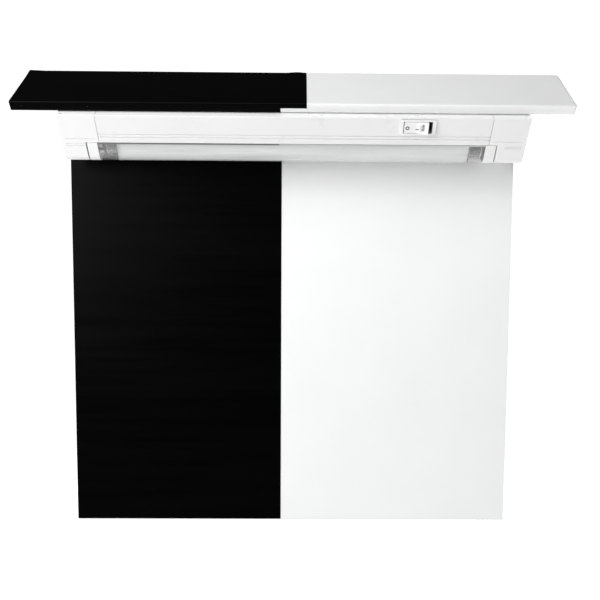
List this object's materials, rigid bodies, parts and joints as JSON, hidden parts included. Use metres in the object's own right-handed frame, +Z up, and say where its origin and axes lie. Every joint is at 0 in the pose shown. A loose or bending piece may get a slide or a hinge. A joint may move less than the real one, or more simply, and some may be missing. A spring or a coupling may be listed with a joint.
{
  "type": "lighted contrast board",
  "caption": "Flat back panel, half black and half white, with a sloping visor and a slim switched fluorescent lamp fixture slung under it.",
  "frame": {"origin": "centre of the back panel's flat back face", "axes": "+Y out of the back face towards the wall, +X along the visor to the right as seen from the front, +Z up"},
  "size_m": [0.419, 0.0529, 0.364],
  "materials": {
    "white_board": "smooth matt white foamed board, cut edges",
    "black_film": "satin black film with a faint sheen",
    "white_film": "satin white film, slightly puckered where it is turned over the edge",
    "bracket_steel": "bright zinc plated",
    "screw_steel": "bright zinc plated",
    "white_enamel": "white baked enamel, satin",
    "white_plastic": "fine moulded texture, satin",
    "switch_plastic": "smooth, semi-gloss",
    "socket_plastic": "matt moulded",
    "contact_brass": "bright",
    "clear_lens": "clear extruded plastic with fine lengthwise prisms",
    "lamp_glass": "glass coated white inside",
    "lamp_cap_metal": "bright rolled cap",
    "circuit_board": "brown laminate",
    "dark_component": "matt",
    "lead_covering": "insulation"
  },
  "bodies": {
    "board": {"panel_board": "white_board", "visor_board": "white_board", "panel_film_black": "black_film", "visor_film_black": "black_film", "under_film_black": "black_film", "panel_film_white": "white_film", "visor_film_white": "white_film", "under_film_white": "white_film", "bracket_left": "bracket_steel", "bracket_right": "bracket_steel", "clip_left": "bracket_steel", "clip_right": "bracket_steel", "panel_screw_left": "screw_steel", "panel_screw_right": "screw_steel", "visor_screw_left": "screw_steel", "visor_screw_right": "screw_steel", "clip_screw_left": "screw_steel", "clip_screw_right": "screw_steel", "cap_screw_left_1": "screw_steel", "cap_screw_left_2": "screw_steel", "cap_screw_right_1": "screw_steel", "cap_screw_right_2": "screw_steel", "housing": "white_enamel", "reflector": "white_enamel", "end_cap_left": "white_plastic", "end_cap_right": "white_plastic", "lampholder_left": "white_plastic", "lampholder_right": "white_plastic", "switch_body": "switch_plastic", "link_socket_left": "socket_plastic", "link_socket_right": "socket_plastic", "link_pin_left_1": "contact_brass", "link_pin_left_2": "contact_brass", "link_pin_right_1": "contact_brass", "link_pin_right_2": "contact_brass", "switch_terminal_1": "contact_brass", "switch_terminal_2": "contact_brass", "ballast_board": "circuit_board", "ballast_choke": "dark_component", "capacitor_1": "dark_component", "capacitor_2": "dark_component", "transistor_1": "dark_component", "transistor_2": "dark_component", "lead_1": "lead_covering", "lead_2": "lead_covering"},
    "rocker": {"switch_rocker": "switch_plastic"},
    "lens": {"lens": "clear_lens", "lens_end_left": "white_plastic", "lens_end_right": "white_plastic"},
    "lamp": {"lamp_tube": "lamp_glass", "lamp_cap_left": "lamp_cap_metal", "lamp_cap_right": "lamp_cap_metal", "lamp_pin_left_1": "contact_brass", "lamp_pin_left_2": "contact_brass", "lamp_pin_right_1": "contact_brass", "lamp_pin_right_2": "contact_brass"}
  },
  "joints": [
    {"name": "rocker_press", "type": "hinge", "parent": "board", "child": "rocker", "pos_m": [0.093, -0.04401, 0.13567], "axis": [0, -0.6018, 0.7986], "range_deg": [0, 18]},
    {"name": "lens_snap_off", "type": "slide", "parent": "board", "child": "lens", "axis": [0, -0.7986, -0.6018], "range_m": [0, 0.04]},
    {"name": "lamp_turn", "type": "hinge", "parent": "board", "child": "lamp", "pos_m": [0.0016, -0.02554, 0.1218], "axis": [1, 0, 0], "range_deg": [0, 90]}
  ]
}
